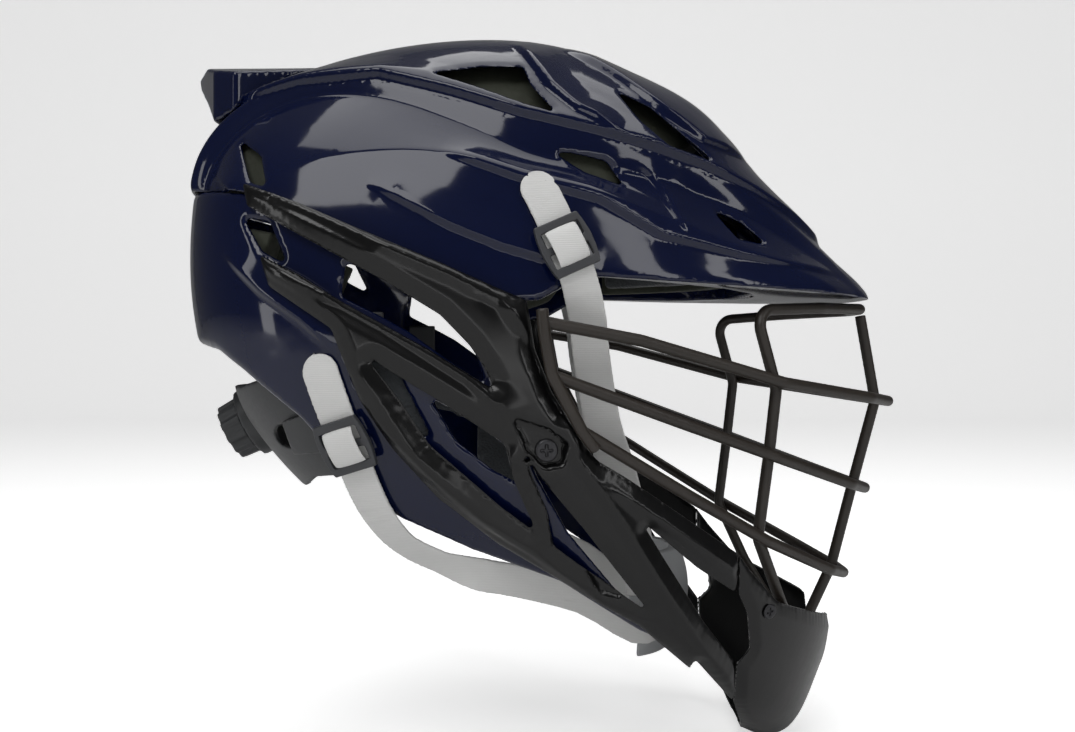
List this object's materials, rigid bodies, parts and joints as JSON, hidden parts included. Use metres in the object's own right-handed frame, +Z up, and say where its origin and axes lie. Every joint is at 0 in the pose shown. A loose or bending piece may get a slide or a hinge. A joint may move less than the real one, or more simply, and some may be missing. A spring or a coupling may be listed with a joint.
{
  "type": "lacrosse helmet",
  "caption": "Lacrosse helmet with a creased peaked shell, wire face mask, wrap-round jaw guard, foam liner, chin straps and a dial-fitted cradle.",
  "frame": {"origin": "middle of the wearer's head, midway between the ear openings", "axes": "+X to the front, +Y to the wearer's left, +Z up as worn, with the mask's view level"},
  "size_m": [0.3358, 0.2348, 0.3306],
  "materials": {
    "shell_paint": "gloss",
    "guard_plastic": "satin",
    "wire_coat": "satin powder coat",
    "screw_steel": "satin",
    "liner_foam": "matte expanded foam",
    "pad_fabric": "knitted lining",
    "webbing": "woven",
    "buckle_plastic": "satin",
    "cup_rubber": "matte",
    "retention_plastic": "satin"
  },
  "bodies": {
    "helmet": {"band_arm_left": "retention_plastic", "band_arm_right": "retention_plastic", "brow_liner": "liner_foam", "brow_pad": "pad_fabric", "chin_cup": "cup_rubber", "chin_guard": "guard_plastic", "chin_screws": "screw_steel", "crown_liner": "liner_foam", "crown_pad": "pad_fabric", "crown_shell": "shell_paint", "ear_pad_left": "pad_fabric", "ear_pad_right": "pad_fabric", "front_buckle_left": "buckle_plastic", "front_buckle_right": "buckle_plastic", "front_strap_left": "webbing", "front_strap_right": "webbing", "jaw_guard_left": "guard_plastic", "jaw_guard_right": "guard_plastic", "jaw_pad_left": "pad_fabric", "jaw_pad_right": "pad_fabric", "mask_bar_lower": "wire_coat", "mask_bar_middle": "wire_coat", "mask_bar_upper": "wire_coat", "mask_centre_upright": "wire_coat", "mask_hoop": "wire_coat", "mask_loop_left": "wire_coat", "mask_loop_right": "wire_coat", "rear_buckle_left": "buckle_plastic", "rear_buckle_right": "buckle_plastic", "rear_liner": "liner_foam", "rear_shell": "shell_paint", "rear_spoiler": "shell_paint", "rear_strap_left": "webbing", "rear_strap_right": "webbing", "temple_screws": "screw_steel"},
    "cradle": {"cradle": "retention_plastic", "nape_pad": "pad_fabric"},
    "dial": {"dial": "retention_plastic"}
  },
  "joints": [
    {"name": "cradle_slide", "type": "slide", "parent": "helmet", "child": "cradle", "axis": [1, 0, 0], "range_m": [0, 0.01]},
    {"name": "dial_turn", "type": "hinge", "parent": "cradle", "child": "dial", "pos_m": [-0.09319, 0, -0.03092], "axis": [-0.891, 0, -0.454], "range_deg": [0, 286.5]}
  ],
  "couplings": [
    {"joint": "dial_turn", "follows": "cradle_slide", "rad_per_m": 500}
  ]
}
